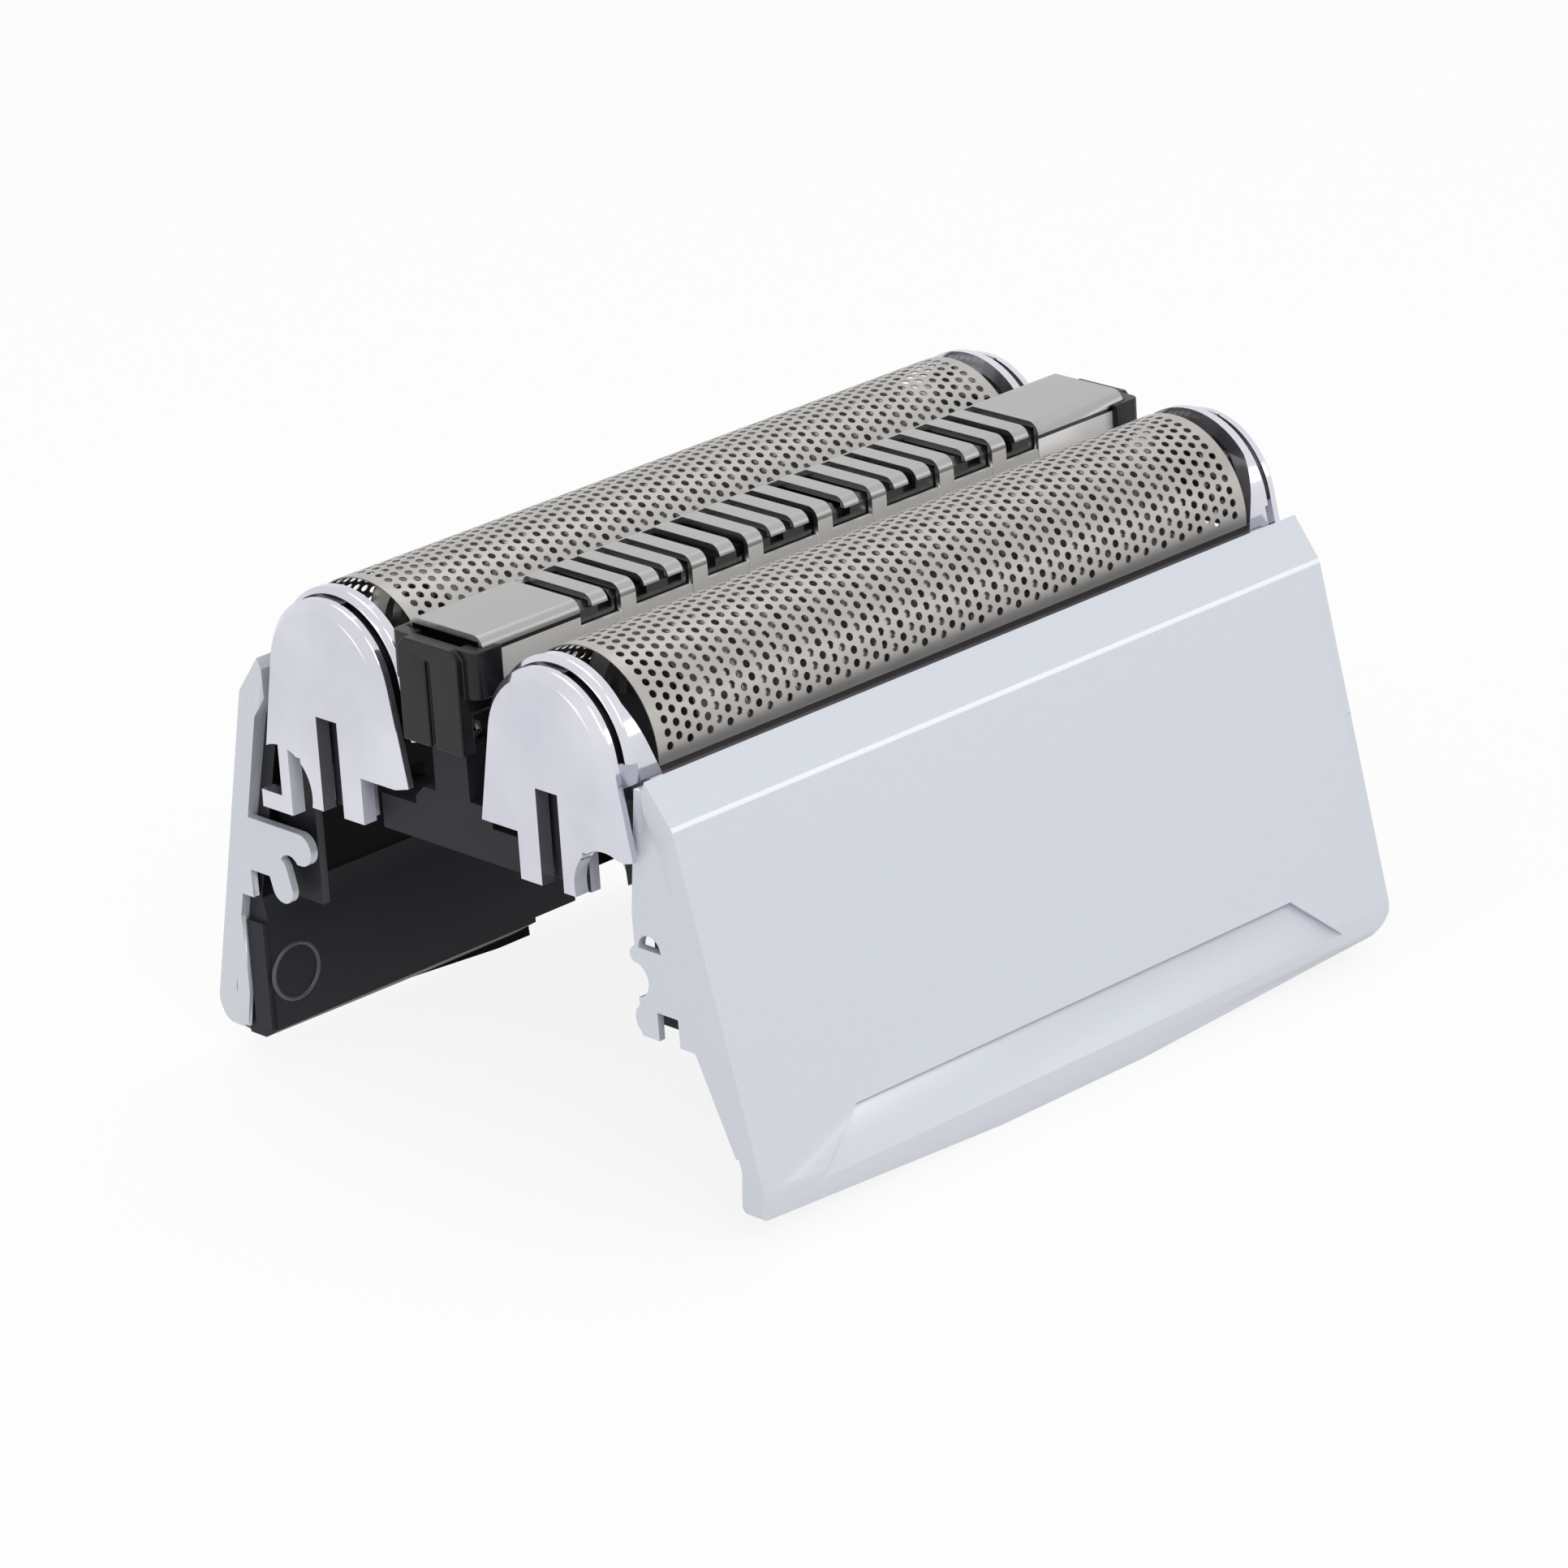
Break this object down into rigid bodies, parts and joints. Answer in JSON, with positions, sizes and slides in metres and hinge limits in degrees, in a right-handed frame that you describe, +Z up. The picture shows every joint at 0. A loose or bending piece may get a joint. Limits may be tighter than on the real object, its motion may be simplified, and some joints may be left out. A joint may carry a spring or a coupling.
{
  "type": "shaver foil head",
  "caption": "Clip-on foil head for an electric shaver: sprung foil cartridges and a sprung trimmer comb over sliding cutters, in a dark frame between sloped silver panels.",
  "frame": {"origin": "bottom centre of the bounding box: level with the middle of the panels' bowed lower edges, midway between both panels and both ends", "axes": "+X along the foils, front panel towards -Y, +Z up through the foils' crowns"},
  "size_m": [0.0466, 0.0388, 0.0269],
  "materials": {
    "frame_plastic": "matte moulded plastic, slate grey",
    "panel": "satin silver lacquer on plastic",
    "cap_chrome": "chrome plated plastic",
    "foil_nickel": "electroformed nickel, warm satin",
    "carrier_plastic": "matte black plastic",
    "blade_steel": "ground steel",
    "comb_steel": "satin stainless sheet",
    "black_plastic": "satin black plastic",
    "spring_steel": "drawn wire"
  },
  "bodies": {
    "chassis": {"frame": "frame_plastic", "front_panel": "panel", "rear_panel": "panel", "front_spring_left": "spring_steel", "front_spring_right": "spring_steel", "rear_spring_left": "spring_steel", "rear_spring_right": "spring_steel", "trimmer_spring_left": "spring_steel", "trimmer_spring_right": "spring_steel"},
    "front_cartridge": {"front_foil_frame": "cap_chrome", "front_foil": "foil_nickel"},
    "front_cutter": {"front_blade_carrier": "carrier_plastic", "front_blades": "blade_steel"},
    "rear_cartridge": {"rear_foil_frame": "cap_chrome", "rear_foil": "foil_nickel"},
    "rear_cutter": {"rear_blade_carrier": "carrier_plastic", "rear_blades": "blade_steel"},
    "trimmer": {"trimmer_comb": "comb_steel", "trimmer_carrier": "black_plastic"},
    "trimmer_cutter": {"trimmer_blade": "blade_steel", "trimmer_driver": "black_plastic"}
  },
  "joints": [
    {"name": "front_float", "type": "slide", "parent": "chassis", "child": "front_cartridge", "axis": [0, 0, -1], "range_m": [0, 0.002], "stiffness_N_per_m": 300, "springref_m": -0.001, "deforming": ["front_spring_left", "front_spring_right"]},
    {"name": "rear_float", "type": "slide", "parent": "chassis", "child": "rear_cartridge", "axis": [0, 0, -1], "range_m": [0, 0.002], "stiffness_N_per_m": 300, "springref_m": -0.001, "deforming": ["rear_spring_left", "rear_spring_right"]},
    {"name": "trimmer_float", "type": "slide", "parent": "chassis", "child": "trimmer", "axis": [0, 0, -1], "range_m": [0, 0.0018], "stiffness_N_per_m": 200, "springref_m": -0.001, "deforming": ["trimmer_spring_left", "trimmer_spring_right"]},
    {"name": "front_cut", "type": "slide", "parent": "front_cartridge", "child": "front_cutter", "axis": [1, 0, 0], "range_m": [-0.0012, 0.0012]},
    {"name": "rear_cut", "type": "slide", "parent": "rear_cartridge", "child": "rear_cutter", "axis": [1, 0, 0], "range_m": [-0.0012, 0.0012]},
    {"name": "trimmer_cut", "type": "slide", "parent": "trimmer", "child": "trimmer_cutter", "axis": [1, 0, 0], "range_m": [-0.0008, 0.0008]}
  ]
}
